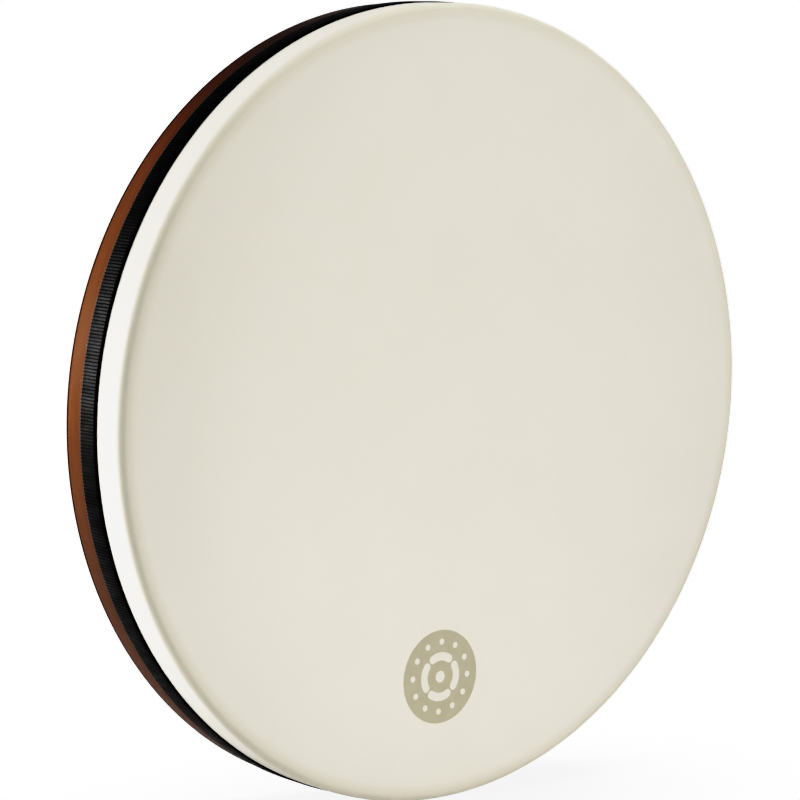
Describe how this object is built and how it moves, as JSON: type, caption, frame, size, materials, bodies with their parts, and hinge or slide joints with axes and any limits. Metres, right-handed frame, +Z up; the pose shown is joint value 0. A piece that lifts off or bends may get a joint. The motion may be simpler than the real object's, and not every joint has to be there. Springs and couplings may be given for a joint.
{
  "type": "frame drum",
  "caption": "Shallow round frame drum: a bent plywood hoop, a fixed single head turned over the rim, a woven black ribbon over the head's edge, and an open back.",
  "frame": {"origin": "middle of the hoop, on its axis, halfway between the head's face and the back rim", "axes": "+Z up, the drum stands upright like a wheel; the head faces -Y and the back is open towards +Y; +X is to the right as the head is looked at"},
  "size_m": [0.5614, 0.0639, 0.5614],
  "materials": {
    "stained_wood": "red-brown stain under a thin satin lacquer",
    "core_wood": "bare veneer, stained at its edges",
    "head_film": "smooth matt translucent film",
    "staple_wire": "flattened galvanised wire",
    "ribbon_weave": "ribbed grosgrain weave",
    "print_ink": "thin matt screen-printed ink"
  },
  "bodies": {
    "root": {"hoop_ply_1_outer": "stained_wood", "hoop_ply_2": "core_wood", "hoop_ply_3": "core_wood", "hoop_ply_4": "core_wood", "hoop_ply_5": "core_wood", "hoop_ply_6": "core_wood", "hoop_ply_7_inner": "stained_wood", "drumhead": "head_film", "head_staples": "staple_wire", "trim_ribbon": "ribbon_weave", "head_print": "print_ink"}
  },
  "joints": []
}
